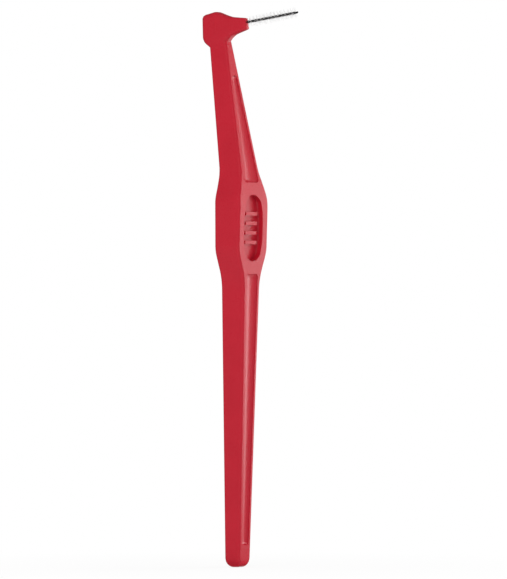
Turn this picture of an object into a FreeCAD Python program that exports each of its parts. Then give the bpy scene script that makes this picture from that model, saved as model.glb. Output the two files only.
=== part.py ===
"""Interdental brush: a long fluted handle with a small angled head.

Millimetres. The origin is the middle of the flat at the tail end, +Z runs up the handle
to the head, +X is the way the brush points, and the part is symmetric about Y = 0.
"""

import FreeCAD, Part
import math
import os
import re

import Sketcher

# Driving dimensions: alias, value, what it measures
SIZES = (
    ("grip_length", 75.2, "tail to waist"),
    ("flare_length", 7.2, "waist to the paddle's full width"),
    ("paddle_length", 13.8, "length of the paddle at full width"),
    ("shoulder_length", 6.9, "paddle to shoulder"),
    ("neck_length", 32.9, "shoulder to the head"),
    ("neck_root_length", 2.0, "length of the neck inside the head"),
    ("tail_half_width", 2.85, "half width at the tail"),
    ("waist_half_width", 4.2, "half width at the waist"),
    ("paddle_half_width", 7.55, "half width of the paddle"),
    ("shoulder_half_width", 4.75, "half width at the shoulder"),
    ("neck_top_half_width", 1.75, "half width of the neck at the head"),
    ("waist_radius", 14.0, "radius at the waist"),
    ("paddle_radius", 7.0, "radius at the paddle's four corners"),
    ("shoulder_radius", 12.0, "radius at the shoulder"),
    ("tail_back_depth", 2.3, "back face behind the origin at the tail"),
    ("tail_front_depth", 2.1, "front face before the origin at the tail"),
    ("front_lean", 1.73, "forward lean of the grip's front face, degrees"),
    ("back_lean", 0.22, "backward lean of the grip's back face, degrees"),
    ("crest_offset", 0.3, "front crest above the paddle"),
    ("back_bend_offset", 5.4, "bend of the back above the paddle"),
    ("neck_front_lean", 10.65, "backward lean of the neck's front face, degrees"),
    ("neck_back_lean", 8.17, "backward lean of the neck's back face, degrees"),
    ("crest_radius", 36.0, "radius over the front crest"),
    ("back_bend_radius", 54.0, "radius in the bend of the back"),
    ("tail_radius", 1.7, "radius at the tail's front and back edges"),
    ("tail_taper_width", 1.3, "taper of each side at the tail"),
    ("tail_taper_length", 1.9, "length of the taper at the tail"),
    ("tail_taper_radius", 2.2, "radius where the taper starts"),
    ("rim_radius", 0.6, "radius along the handle's long edges"),
    ("flute_rim_width", 1.25, "flat rim beside a flute"),
    ("flute_depth", 1.05, "depth of a flute"),
    ("flute_floor_radius", 0.7, "radius at the floor of a flute"),
    ("flute_corner_margin", 0.35, "corner radius of a flute over its floor radius"),
    ("grip_flute_low_margin", 5.8, "tail to the grip flute"),
    ("grip_flute_high_margin", 1.4, "end of the grip flute above the waist"),
    ("neck_flute_low_margin", 2.9, "start of the neck flute below the shoulder"),
    ("neck_flute_high_margin", 7.3, "neck flute to the head"),
    ("recess_rim_width", 2.75, "flat rim beside the thumb recess"),
    ("recess_depth", 1.5, "depth of the thumb recess"),
    ("recess_low_margin", 2.5, "start of the recess below the paddle's full width"),
    ("recess_high_margin", 1.0, "end of the recess above the paddle's full width"),
    ("recess_end_half_width", 3.3, "half width of the recess at its ends"),
    ("recess_slant_length", 5.2, "length of the slanted ends of the recess"),
    ("recess_belly_radius", 11.0, "radius where the slants meet the sides of the recess"),
    ("recess_floor_radius", 0.5, "radius at the floor of the recess"),
    ("recess_corner_margin", 0.3, "corner radius of the recess over its floor radius"),
    ("rib_half_length", 2.9, "half length of a grip rib"),
    ("rib_thickness", 0.9, "thickness of a grip rib"),
    ("rib_height", 0.8, "height of a grip rib over the recess floor"),
    ("rib_pitch", 2.5, "spacing of the grip ribs"),
    ("rib_count", 4, "number of grip ribs"),
    ("head_tilt", 8.5, "upward tilt of the brush, degrees"),
    ("head_height", 5.0, "wire axis above the top of the neck"),
    ("heel_offset", 4.5, "heel corner behind the neck's axis"),
    ("heel_depth", 2.6, "heel corner below the wire axis"),
    ("back_offset", 3.7, "top back corner behind the neck's axis"),
    ("back_height", 3.75, "top back corner above the wire axis"),
    ("crown_offset", 0.5, "crown corner in front of the neck's axis"),
    ("crown_height", 4.1, "crown corner above the wire axis"),
    ("brow_offset", 4.2, "bend over the nozzle, in front of the neck's axis"),
    ("brow_height", 2.1, "bend over the nozzle, above the wire axis"),
    ("nozzle_length", 4.55, "bend over the nozzle to the nozzle end"),
    ("nozzle_height", 1.1, "top of the nozzle end above the wire axis"),
    ("nozzle_depth", 1.85, "bottom of the nozzle end below the wire axis"),
    ("throat_offset", 4.2, "bend under the nozzle, in front of the neck's axis"),
    ("throat_depth", 2.65, "bend under the nozzle, below the wire axis"),
    ("collar_front_offset", 2.1, "front of the head's collar round the neck"),
    ("collar_front_depth", 4.4, "front of the collar below the wire axis"),
    ("collar_back_offset", 2.2, "back of the collar behind the neck's axis"),
    ("collar_back_depth", 5.2, "back of the collar below the wire axis"),
    ("heel_radius", 1.6, "radius at the heel"),
    ("back_radius", 1.3, "radius at the top back corner"),
    ("crown_radius", 1.8, "radius at the crown"),
    ("brow_radius", 9.0, "radius in the bend over the nozzle"),
    ("throat_radius", 5.0, "radius in the bend under the nozzle"),
    ("head_half_width", 2.2, "half width of the head"),
    ("cheek_offset", 0.8, "start of the head's taper to the nozzle"),
    ("nozzle_half_width", 1.2, "half width of the nozzle end"),
    ("cheek_radius", 6.0, "radius where the head starts to taper"),
    ("head_rim_radius", 0.6, "radius along the head's edges"),
    ("wire_radius", 0.12, "radius of the coated wire"),
    ("strand_radius", 0.16, "strand centre from the axis of the twist"),
    ("twist_quarter_count", 35, "quarter turns of the twist"),
    ("wire_free_length", 15.65, "wire in front of the nozzle"),
    ("wire_anchor_length", 3.2, "wire inside the nozzle"),
    ("bore_clearance", 0.02, "room round the wire in its bore"),
    ("filament_radius", 0.03, "radius of one filament"),
    ("filament_group_count", 7, "groups of filaments along the wire"),
    ("group_filament_count", 20, "filaments in one group"),
    ("brush_radius", 1.5, "radius of the trimmed brush"),
    ("brush_start_margin", 0.5, "bare wire at the nozzle"),
    ("brush_end_margin", 0.7, "bare wire at the tip"),
    ("cut_overrun_length", 1.0, "how far a cut runs past the solid"),
)

ON_LINE = 1e-4
QUARTER_COUNT = 4
SECTION_SIDES_COUNT = 6
ORIGIN_INDEX = -1
START_INDEX = 1
END_INDEX = 2
FORWARD = 1
BACKWARD = -1

doc = FreeCAD.newDocument("interdental_brush")


def size_sheet():
    """Spreadsheet with one aliased cell for each driving dimension."""
    cells = doc.addObject("Spreadsheet::Sheet", "Sizes")
    for row, (alias, value, meaning) in enumerate(SIZES, start=1):
        cells.set(f"A{row}", meaning)
        cells.set(f"B{row}", str(value))
        cells.setAlias(f"B{row}", alias)
    doc.recompute()
    return cells


sheet = size_sheet()


def size(alias):
    """Value of one cell of the sheet."""
    return float(getattr(sheet, alias))


def number(expression):
    """Value of an expression on the sheet's cells."""
    return float(sheet.evalExpression(expression))


def cells(expression):
    """Expression with each bare alias turned into a reference to the sheet."""
    aliases = "|".join(alias for alias, value, meaning in SIZES)
    return re.sub(rf"\b({aliases})\b", r"Sizes.\1", expression)


def both_sides(right_side):
    """Closed outline from its right side, listed upwards, and the mirror image."""
    left_side = [(f"-({across})", *rest) for across, *rest in reversed(right_side)]
    return right_side + left_side


def new_sketch(body, name, role):
    """Sketch on one of the body's own origin planes."""
    sketch = body.newObject("Sketcher::SketchObject", name)
    plane = next(item for item in body.Origin.OriginFeatures if item.Role == role)
    sketch.AttachmentSupport = [(plane, "")]
    sketch.MapMode = "FlatFace"
    return sketch


def bind_place(sketch, geometry, place):
    """Bind the first point of a piece of a sketch to a place on the sheet."""
    for kind, expression in zip(("DistanceX", "DistanceY"), place):
        index = sketch.addConstraint(Sketcher.Constraint(
            kind, ORIGIN_INDEX, START_INDEX, geometry, START_INDEX, number(expression)))
        sketch.setExpression(f"Constraints[{index}]", expression)


def corner_arc(before, corner, after, radius):
    """Arc of a radius that touches both sides of a corner, and whether it turns left."""
    way_in = (corner - before).normalize()
    way_out = (after - corner).normalize()
    turn = way_in.getAngle(way_out)
    setback = radius * math.tan(turn / 2)
    entry = corner - way_in * setback
    leave = corner + way_out * setback
    left = way_in.cross(way_out).z > 0
    inward = FreeCAD.Vector(-way_in.y, way_in.x, 0) * (radius if left else -radius)
    centre = entry + inward
    ends = (entry, leave) if left else (leave, entry)
    start, stop = (math.atan2(end.y - centre.y, end.x - centre.x) for end in ends)
    if stop < start:
        stop += 2 * math.pi
    circle = Part.Circle(centre, FreeCAD.Vector(0, 0, 1), radius)
    return Part.ArcOfCircle(circle, start, stop), left, entry, leave


def draw_outline(sketch, corners):
    """Closed outline bound to the sheet, with a tangent arc at each corner that has a radius."""
    bound = [tuple(cells(item) for item in corner) for corner in corners]
    points = [FreeCAD.Vector(number(corner[0]), number(corner[1]), 0) for corner in bound]
    entries = list(points)
    leaves = list(points)
    arcs = {}
    for index, corner in enumerate(bound):
        if len(corner) == 3:
            after = points[(index + 1) % len(points)]
            arc, left, entries[index], leaves[index] = corner_arc(
                points[index - 1], points[index], after, number(corner[2]))
            arcs[index] = (arc, left)
    first = sketch.GeometryCount
    for index, leave in enumerate(leaves):
        sketch.addGeometry(Part.LineSegment(leave, entries[(index + 1) % len(points)]), False)
    for index, corner in enumerate(bound):
        line_in = first + (index - 1) % len(bound)
        line_out = first + index
        if index not in arcs:
            sketch.addConstraint(
                Sketcher.Constraint("Coincident", line_in, END_INDEX, line_out, START_INDEX))
            bind_place(sketch, line_out, corner)
            continue
        arc, left = arcs[index]
        bend = sketch.addGeometry(arc, False)
        knee = sketch.addGeometry(Part.Point(points[index]), True)
        arc_in, arc_out = (START_INDEX, END_INDEX) if left else (END_INDEX, START_INDEX)
        sketch.addConstraint(Sketcher.Constraint("Tangent", line_in, END_INDEX, bend, arc_in))
        sketch.addConstraint(Sketcher.Constraint("Tangent", bend, arc_out, line_out, START_INDEX))
        for line in (line_in, line_out):
            sketch.addConstraint(Sketcher.Constraint("PointOnObject", knee, START_INDEX, line))
        bind_place(sketch, knee, corner[:2])
        place = sketch.addConstraint(Sketcher.Constraint("Radius", bend, number(corner[2])))
        sketch.setExpression(f"Constraints[{place}]", corner[2])


def feature(body, kind, name, profile):
    """PartDesign feature made from a sketch."""
    made = body.newObject(kind, name)
    made.Profile = profile
    return made


def round_edges(body, base, name, edges, radius):
    """Fillet on the named edges of a feature."""
    if not edges:
        raise ValueError(f"{name} found no edge to round")
    made = body.newObject("PartDesign::Fillet", name)
    made.Base = (base, edges)
    made.setExpression("Radius", cells(radius))
    doc.recompute()
    return made


def slope_sideways(face, point):
    """Sideways part of a face's normal at a point on it."""
    return abs(face.normalAt(*face.Surface.parameter(point)).y)


def wall_rims(shape, is_end):
    """Edges where a side wall meets the profile's faces, but for the end faces."""
    flat_share = 0.5
    edges = []
    for index, edge in enumerate(shape.Edges, start=1):
        middle = edge.valueAt((edge.FirstParameter + edge.LastParameter) / 2)
        faces = shape.ancestorsOfType(edge, Part.Face)
        walls = [face for face in faces if slope_sideways(face, middle) > flat_share]
        others = [face for face in faces if slope_sideways(face, middle) <= flat_share]
        if walls and others and not is_end(others[0]):
            edges.append(f"Edge{index}")
    return edges


def floor_edges(shape, sketch):
    """Edges that lie in the plane of a sketch."""
    normal = sketch.Placement.Rotation.multVec(FreeCAD.Vector(0, 0, 1))
    foot = sketch.Placement.Base
    edges = []
    for index, edge in enumerate(shape.Edges, start=1):
        parameters = (edge.FirstParameter, (edge.FirstParameter + edge.LastParameter) / 2,
                      edge.LastParameter)
        if all(abs((edge.valueAt(place) - foot).dot(normal)) < ON_LINE for place in parameters):
            edges.append(f"Edge{index}")
    return edges


def profile_blank(body, name, outline, half_width):
    """Symmetric pad of a side profile in the XZ plane."""
    sketch = new_sketch(body, name + "_profile", "XZ_Plane")
    draw_outline(sketch, outline)
    pad = feature(body, "PartDesign::Pad", name + "_blank", sketch)
    pad.Midplane = True
    pad.setExpression("Length", cells(f"2 * ({half_width})"))
    doc.recompute()


def plan_cut(body, name, role, frame_corners, outline):
    """Symmetric through cut of all that lies outside an outline."""
    sketch = new_sketch(body, name + "_plan", role)
    draw_outline(sketch, frame_corners)
    draw_outline(sketch, outline)
    pocket = feature(body, "PartDesign::Pocket", name + "_sides", sketch)
    pocket.Type = "ThroughAll"
    pocket.Midplane = True
    doc.recompute()
    return pocket


# Heights along the handle
WAIST = "grip_length"
PADDLE_LOW = f"({WAIST} + flare_length)"
PADDLE_HIGH = f"({PADDLE_LOW} + paddle_length)"
SHOULDER = f"({PADDLE_HIGH} + shoulder_length)"
NECK_TOP = f"({SHOULDER} + neck_length)"
NECK_END = f"({NECK_TOP} + neck_root_length)"
CREST = f"({PADDLE_HIGH} + crest_offset)"
BACK_BEND = f"({PADDLE_HIGH} + back_bend_offset)"
RECESS_LOW = f"({PADDLE_LOW} - recess_low_margin)"
RECESS_LENGTH = f"({PADDLE_HIGH} + recess_high_margin - {RECESS_LOW})"

# Faces of the side profile, as depths before the origin at a height {0}
GRIP_FRONT = "(tail_front_depth + {0} * tan(front_lean))"
GRIP_BACK = "(-tail_back_depth - {0} * tan(back_lean))"
NECK_FRONT = f"({GRIP_FRONT.format(CREST)} - ({{0}} - {CREST}) * tan(neck_front_lean))"
NECK_BACK = f"({GRIP_BACK.format(BACK_BEND)} - ({{0}} - {BACK_BEND}) * tan(neck_back_lean))"

# Half widths of the front outline at a height {0}, below the waist, at the tail and on the neck
GRIP_WIDTH = "(tail_half_width + (waist_half_width - tail_half_width) * {0} / grip_length)"
TAPER_WIDTH = ("(tail_half_width - tail_taper_width"
               " * (tail_taper_length - {0}) / tail_taper_length)")
NECK_WIDTH = ("(shoulder_half_width - (shoulder_half_width - neck_top_half_width)"
              f" * ({{0}} - {SHOULDER}) / neck_length)")


def grip_blank(body):
    """Grip, paddle and neck with rounded outlines and edges."""
    outline = [
        (GRIP_BACK.format("0"), "0", "tail_radius"),
        (GRIP_FRONT.format("0"), "0", "tail_radius"),
        (GRIP_FRONT.format(CREST), CREST, "crest_radius"),
        (NECK_FRONT.format(NECK_END), NECK_END),
        (NECK_BACK.format(NECK_END), NECK_END),
        (GRIP_BACK.format(BACK_BEND), BACK_BEND, "back_bend_radius")]
    profile_blank(body, "grip", outline, "paddle_half_width + cut_overrun_length")

    past_tail = "(-cut_overrun_length)"
    past_neck = f"({NECK_END} + cut_overrun_length)"
    right_side = [
        (TAPER_WIDTH.format(past_tail), past_tail),
        (GRIP_WIDTH.format("tail_taper_length"), "tail_taper_length", "tail_taper_radius"),
        ("waist_half_width", WAIST, "waist_radius"),
        ("paddle_half_width", PADDLE_LOW, "paddle_radius"),
        ("paddle_half_width", PADDLE_HIGH, "paddle_radius"),
        ("shoulder_half_width", SHOULDER, "shoulder_radius"),
        (NECK_WIDTH.format(past_neck), past_neck)]
    beyond = "paddle_half_width + 2 * cut_overrun_length"
    frame_corners = both_sides([(beyond, f"{past_tail} - cut_overrun_length"),
                                (beyond, f"{past_neck} + cut_overrun_length")])
    solid = plan_cut(body, "grip", "YZ_Plane", frame_corners, both_sides(right_side))

    neck_end = number(cells(NECK_END))
    rims = wall_rims(solid.Shape, lambda face: face.CenterOfMass.z > neck_end - ON_LINE)
    return round_edges(body, solid, "grip_rims", rims, "rim_radius")


def face_sketch(body, name, height, depth, lean, lean_axis, outline):
    """Sketch in a plane that crosses the handle at a height and depth, with a lean."""
    sketch = new_sketch(body, name, "YZ_Plane")
    offset = FreeCAD.Vector(0, number(cells(height)), number(cells(depth)))
    turn = FreeCAD.Rotation(FreeCAD.Vector(lean_axis, 0, 0), size(lean))
    sketch.AttachmentOffset = FreeCAD.Placement(offset, turn)
    sketch.setExpression("AttachmentOffset.Base.y", cells(height))
    sketch.setExpression("AttachmentOffset.Base.z", cells(depth))
    sketch.setExpression("AttachmentOffset.Rotation.Angle", cells(lean))
    draw_outline(sketch, outline)
    return sketch


def face_pocket(body, base, name, sketch, to_front, floor_radius):
    """Pocket from a floor sketch out through the front or the back, with a rounded floor."""
    pocket = feature(body, "PartDesign::Pocket", name, sketch)
    pocket.Type = "ThroughAll"
    pocket.Reversed = to_front
    doc.recompute()
    if pocket.Shape.Volume >= base.Shape.Volume:
        raise ValueError(f"{name} cut nothing")
    edges = floor_edges(pocket.Shape, sketch)
    return round_edges(body, pocket, name + "_floor", edges, floor_radius)


def flute_outline(low, high, width):
    """Tapered outline that keeps an even rim on both sides."""
    corner = "flute_floor_radius + flute_corner_margin"
    return both_sides([
        (f"{width.format(low)} - flute_rim_width", "0", corner),
        (f"{width.format(high)} - flute_rim_width", f"{high} - {low}", corner)])


def recess_outline():
    """Barrel-shaped outline of the thumb recess."""
    side = "paddle_half_width - recess_rim_width"
    corner = "recess_floor_radius + recess_corner_margin"
    return both_sides([
        ("recess_end_half_width", "0", corner),
        (side, "recess_slant_length", "recess_belly_radius"),
        (side, f"{RECESS_LENGTH} - recess_slant_length", "recess_belly_radius"),
        ("recess_end_half_width", RECESS_LENGTH, corner)])


def grip_ribs(body, depth):
    """Row of plain ribs on the floor of the front recess."""
    row_length = "(rib_count - 1) * rib_pitch"
    low = f"({RECESS_LENGTH} - {row_length} - rib_thickness) / 2"
    outline = both_sides([("rib_half_length", low),
                          ("rib_half_length", f"{low} + rib_thickness")])
    sketch = face_sketch(body, "rib_outline", RECESS_LOW, depth, "front_lean", FORWARD, outline)
    rib = feature(body, "PartDesign::Pad", "rib", sketch)
    rib.setExpression("Length", cells("rib_height"))
    doc.recompute()
    row = body.newObject("PartDesign::LinearPattern", "rib_row")
    row.Originals = [rib]
    row.Direction = (sketch, ["V_Axis"])
    row.setExpression("Length", cells(row_length))
    row.setExpression("Occurrences", cells("rib_count"))
    body.Tip = row
    doc.recompute()


def make_grip():
    """Body of the grip: blank, four flutes, two recesses and the ribs."""
    body = doc.addObject("PartDesign::Body", "grip")
    solid = grip_blank(body)
    flute_low = "grip_flute_low_margin"
    flute_high = f"({WAIST} + grip_flute_high_margin)"
    neck_low = f"({SHOULDER} - neck_flute_low_margin)"
    neck_high = f"({NECK_TOP} - neck_flute_high_margin)"
    grip_flute = flute_outline(flute_low, flute_high, GRIP_WIDTH)
    neck_flute = flute_outline(neck_low, neck_high, NECK_WIDTH)
    recess = recess_outline()
    recess_front = f"{GRIP_FRONT.format(RECESS_LOW)} - recess_depth"
    recess_back = f"{GRIP_BACK.format(RECESS_LOW)} + recess_depth"
    for name, low, depth, lean, lean_axis, outline, to_front, floor_radius in (
            ("grip_flute_front", flute_low, f"{GRIP_FRONT.format(flute_low)} - flute_depth",
             "front_lean", FORWARD, grip_flute, True, "flute_floor_radius"),
            ("neck_flute_front", neck_low, f"{NECK_FRONT.format(neck_low)} - flute_depth",
             "neck_front_lean", BACKWARD, neck_flute, True, "flute_floor_radius"),
            ("grip_flute_back", flute_low, f"{GRIP_BACK.format(flute_low)} + flute_depth",
             "back_lean", BACKWARD, grip_flute, False, "flute_floor_radius"),
            ("neck_flute_back", neck_low, f"{NECK_BACK.format(neck_low)} + flute_depth",
             "neck_back_lean", BACKWARD, neck_flute, False, "flute_floor_radius"),
            ("recess_back", RECESS_LOW, recess_back,
             "back_lean", BACKWARD, recess, False, "recess_floor_radius"),
            ("recess_front", RECESS_LOW, recess_front,
             "front_lean", FORWARD, recess, True, "recess_floor_radius")):
        sketch = face_sketch(body, name + "_outline", low, depth, lean, lean_axis, outline)
        solid = face_pocket(body, solid, name, sketch, to_front, floor_radius)
    grip_ribs(body, recess_front)
    return body


# Side profile of the head, along the wire and across it
NOZZLE_END = "(brow_offset + nozzle_length)"
HEAD_OUTLINE = [
    ("-heel_offset", "-heel_depth", "heel_radius"),
    ("-collar_back_offset", "-collar_back_depth"),
    ("collar_front_offset", "-collar_front_depth"),
    ("throat_offset", "-throat_depth", "throat_radius"),
    (NOZZLE_END, "-nozzle_depth"),
    (NOZZLE_END, "nozzle_height"),
    ("brow_offset", "brow_height", "brow_radius"),
    ("crown_offset", "crown_height", "crown_radius"),
    ("-back_offset", "back_height", "back_radius")]


def make_head():
    """Body of the angled head, drawn in its own frame along the wire."""
    body = doc.addObject("PartDesign::Body", "head")
    neck_middle = f"({NECK_FRONT.format(NECK_TOP)} + {NECK_BACK.format(NECK_TOP)}) / 2"
    across = f"{neck_middle} - head_height * tan((neck_front_lean + neck_back_lean) / 2)"
    up = f"{NECK_TOP} + head_height"
    turn = FreeCAD.Rotation(FreeCAD.Vector(0, -1, 0), size("head_tilt"))
    base = FreeCAD.Vector(number(cells(across)), 0, number(cells(up)))
    body.Placement = FreeCAD.Placement(base, turn)
    body.setExpression("Placement.Base.x", cells(across))
    body.setExpression("Placement.Base.z", cells(up))
    body.setExpression("Placement.Rotation.Angle", cells("head_tilt"))

    profile_blank(body, "head", HEAD_OUTLINE, "head_half_width + cut_overrun_length")

    past_back = "(-heel_offset - cut_overrun_length)"
    past_nozzle = f"({NOZZLE_END} + cut_overrun_length)"
    taper = f"(head_half_width - nozzle_half_width) / ({NOZZLE_END} - cheek_offset)"
    right_side = [(past_back, "head_half_width"),
                  ("cheek_offset", "head_half_width", "cheek_radius"),
                  (past_nozzle, f"nozzle_half_width - cut_overrun_length * {taper}")]
    left_side = [(along, f"-({across})", *arc) for along, across, *arc in reversed(right_side)]
    beyond = "(head_half_width + 2 * cut_overrun_length)"
    frame_corners = [(f"{past_back} - cut_overrun_length", f"-{beyond}"),
                     (f"{past_nozzle} + cut_overrun_length", f"-{beyond}"),
                     (f"{past_nozzle} + cut_overrun_length", beyond),
                     (f"{past_back} - cut_overrun_length", beyond)]
    solid = plan_cut(body, "head", "XY_Plane", frame_corners, right_side + left_side)

    nozzle_end = number(cells(NOZZLE_END))
    collar_middle = (size("collar_front_depth") + size("collar_back_depth")) / 2

    def is_end(face):
        middle = face.CenterOfMass
        return middle.x > nozzle_end - ON_LINE or middle.z < ON_LINE - collar_middle

    rims = wall_rims(solid.Shape, is_end)
    round_edges(body, solid, "head_rims", rims, "head_rim_radius")
    return body


def make_handle(grip, head):
    """One moulding of grip and head, with the bore that holds the wire."""
    moulding = doc.addObject("Part::Fuse", "moulding")
    moulding.Base = grip
    moulding.Tool = head
    bore = doc.addObject("Part::Cylinder", "wire_bore")
    bore.setExpression("Radius", cells("strand_radius + wire_radius + bore_clearance"))
    bore.setExpression("Height", cells("wire_anchor_length + bore_clearance + cut_overrun_length"))
    along_wire = FreeCAD.Rotation(FreeCAD.Vector(0, 0, 1), FreeCAD.Vector(1, 0, 0))
    root = number(cells(NOZZLE_END)) - size("wire_anchor_length") - size("bore_clearance")
    local = FreeCAD.Placement(FreeCAD.Vector(root, 0, 0), along_wire)
    bore.Placement = head.Placement.multiply(local)
    handle = doc.addObject("Part::Cut", "handle")
    handle.Base = moulding
    handle.Tool = bore
    return handle


def biarc(start, start_way, end, end_way):
    """Two tangent arcs from one point and direction to another.

    With v the chord, t1 and t2 the unit directions and t their sum, both tangent lengths are
    d = (-v.t + sqrt((v.t)^2 + 2 (1 - t1.t2) v.v)) / (2 (1 - t1.t2)).
    """
    chord = end - start
    ways = start_way + end_way
    bend = 2 * (1 - start_way.dot(end_way))
    along = chord.dot(ways)
    length = (math.sqrt(along ** 2 + bend * chord.dot(chord)) - along) / bend
    first_knee = start + start_way * length
    last_knee = end - end_way * length
    joint = (first_knee + last_knee) / 2
    arcs = []
    for near, knee, far in ((start, first_knee, joint), (joint, last_knee, end)):
        middle = (near + far) / 2
        rise = knee - middle
        slope = rise.Length / ((far - near).Length / 2)
        sagitta = rise / (1 + math.sqrt(1 + slope ** 2))
        arcs.append(Part.Arc(near, middle + sagitta, far))
    return arcs


def twist():
    """Root, end of the twisted length and quarter turns along the wire axis."""
    root = number(cells(NOZZLE_END)) - size("wire_anchor_length")
    tip = number(cells(NOZZLE_END)) + size("wire_free_length")
    end = tip - size("wire_radius") - size("strand_radius")
    return root, end, int(size("twist_quarter_count"))


def twist_angle(along):
    """Angle of the first strand round the wire axis at a place along it."""
    root, end, quarters = twist()
    return 2 * math.pi * quarters / QUARTER_COUNT * (along - root) / (end - root)


def strand_point(along, phase):
    """Place and direction of a strand of the twist."""
    root, end, quarters = twist()
    radius = size("strand_radius")
    rate = 2 * math.pi * quarters / QUARTER_COUNT / (end - root)
    angle = twist_angle(along) + phase
    place = FreeCAD.Vector(along, radius * math.cos(angle), radius * math.sin(angle))
    way = FreeCAD.Vector(1, -radius * rate * math.sin(angle), radius * rate * math.cos(angle))
    return place, way.normalize()


def ring(centre, way, radius):
    """Closed many-sided section square to a direction."""
    side = way.cross(FreeCAD.Vector(-way.y, way.z, way.x)).normalize()
    other = way.cross(side)
    corners = []
    for corner in range(SECTION_SIDES_COUNT):
        turn = 2 * math.pi * corner / SECTION_SIDES_COUNT
        corners.append(centre + side * (radius * math.cos(turn)) + other * (radius * math.sin(turn)))
    return Part.makePolygon(corners + corners[:1])


def make_wire(head):
    """Coated wire folded at the tip and twisted on itself, as one unbroken tube."""
    root, end, quarters = twist()
    places = [root + (end - root) * step / quarters for step in range(quarters + 1)]
    outward = [strand_point(along, 0) for along in places]
    homeward = [(place, -way) for place, way in
                (strand_point(along, math.pi) for along in reversed(places))]
    outward[-1] = (outward[-1][0], FreeCAD.Vector(1, 0, 0))
    homeward[0] = (homeward[0][0], FreeCAD.Vector(-1, 0, 0))
    fold_way = (homeward[0][0] - outward[-1][0]).normalize()
    fold = (FreeCAD.Vector(end + size("strand_radius"), 0, 0), fold_way)
    route = outward + [fold] + homeward
    arcs = []
    for (start, start_way), (stop, stop_way) in zip(route, route[1:]):
        arcs.extend(biarc(start, start_way, stop, stop_way))
    bends = [arc.toShape() for arc in arcs]
    path = Part.Wire(bends)
    section = ring(*outward[0], size("wire_radius"))
    wire = doc.addObject("Part::Feature", "twisted_wire")
    wire.Shape = path.makePipeShell([section], True, False)
    wire.Placement = head.Placement
    gap = min(near.distanceToPoint(far) for near, way in outward for far, other in homeward)
    print("least arc radius", min(bend.Curve.Radius for bend in bends))
    print("least gap between strands", gap - 2 * size("wire_radius"))
    print("wire volume over section times length",
          wire.Shape.Volume / (Part.Face(section).Area * path.Length))
    return wire


def filament(along):
    """One straight hair through the wire axis, between the two strands."""
    angle = twist_angle(along) + math.pi / 2
    way = FreeCAD.Vector(0, math.cos(angle), math.sin(angle))
    root = FreeCAD.Vector(along, 0, 0) - way * size("brush_radius")
    section = ring(root, way, size("filament_radius"))
    return Part.Face(section).extrude(way * 2 * size("brush_radius"))


def make_filaments(head):
    """Filaments of the brush, spaced evenly, in groups of about one turn of the twist."""
    start = number(cells(NOZZLE_END)) + size("brush_start_margin")
    stop = number(cells(NOZZLE_END)) + size("wire_free_length") - size("brush_end_margin")
    group_count = int(size("filament_group_count"))
    hair_count = int(size("group_filament_count"))
    spacing = (stop - start) / (group_count * hair_count - 1)
    groups = []
    for turn in range(group_count):
        hairs = [filament(start + spacing * (turn * hair_count + hair)) for hair in range(hair_count)]
        group = doc.addObject("Part::Feature", f"filaments_turn_{turn + 1:02d}")
        group.Shape = Part.makeCompound(hairs)
        group.Placement = head.Placement
        groups.append(group)
    return groups


def check_document(pieces):
    """Stop unless every object is sound and every piece is a valid solid."""
    for item in doc.Objects:
        if "Invalid" in item.State or "Error" in item.State:
            raise RuntimeError(f"{item.Name} failed: {item.State}")
    for piece in pieces:
        shape = piece.Shape
        if shape.isNull() or not shape.isValid() or not shape.Solids:
            raise RuntimeError(f"{piece.Label} has no valid shape")


def main():
    """Build every piece and write one file for each."""
    grip = make_grip()
    head = make_head()
    doc.recompute()
    pieces = [make_handle(grip, head), make_wire(head)] + make_filaments(head)
    doc.recompute()
    check_document(pieces)
    os.makedirs("parts", exist_ok=True)
    for piece in pieces:
        piece.Shape.exportStep(f"parts/{piece.Label}.step")
        print(piece.Label, len(piece.Shape.Solids), round(piece.Shape.Volume, 3))


main()
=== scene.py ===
"""Looks of an interdental brush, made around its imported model.

Lengths are in metres, in the frame of the part: +Z runs up the handle from the tail, +X is
the way the brush points, and the handle is symmetric about Y = 0. The grip is a merged copy of
the model's handle below the head. The head, the floors of the flutes, the arched ends of the
thumb recesses, the wire and the filaments are surfaces made here.
"""

import math
from typing import NamedTuple

import bpy
import numpy as np
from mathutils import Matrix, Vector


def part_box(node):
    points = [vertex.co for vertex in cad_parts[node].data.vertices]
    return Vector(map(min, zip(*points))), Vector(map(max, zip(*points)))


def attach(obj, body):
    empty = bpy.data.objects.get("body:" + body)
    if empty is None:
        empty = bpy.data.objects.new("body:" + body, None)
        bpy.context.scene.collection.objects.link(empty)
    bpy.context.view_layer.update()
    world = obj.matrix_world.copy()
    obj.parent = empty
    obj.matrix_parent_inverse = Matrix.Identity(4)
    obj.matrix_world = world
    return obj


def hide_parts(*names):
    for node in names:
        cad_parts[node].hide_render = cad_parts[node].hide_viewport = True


bl_info = {
    "name": "Interdental Brush",
    "version": (1, 0, 0),
    "blender": (4, 5, 0),
    "location": "3D View > Sidebar > Brush",
    "description": "Finishes and stage of an interdental brush with a fluted handle",
    "category": "Object",
}

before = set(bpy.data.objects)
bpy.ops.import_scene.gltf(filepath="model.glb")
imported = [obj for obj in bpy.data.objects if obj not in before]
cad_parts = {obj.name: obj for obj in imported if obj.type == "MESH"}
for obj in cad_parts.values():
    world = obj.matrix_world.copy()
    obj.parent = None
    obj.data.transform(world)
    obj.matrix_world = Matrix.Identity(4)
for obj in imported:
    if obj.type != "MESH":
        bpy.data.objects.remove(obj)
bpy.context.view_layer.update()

MM = 0.001
MICRON = 0.001 * MM
ALL_ROUND = 2 * math.pi
QUARTER_COUNT = 4
CREASE = math.radians(40)
X_AXIS, Y_AXIS, Z_AXIS = np.eye(3)
PLASTIC = "red_moulded_plastic"
FILAMENT_NODES = sorted(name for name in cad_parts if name.startswith("filaments_turn"))


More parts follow.
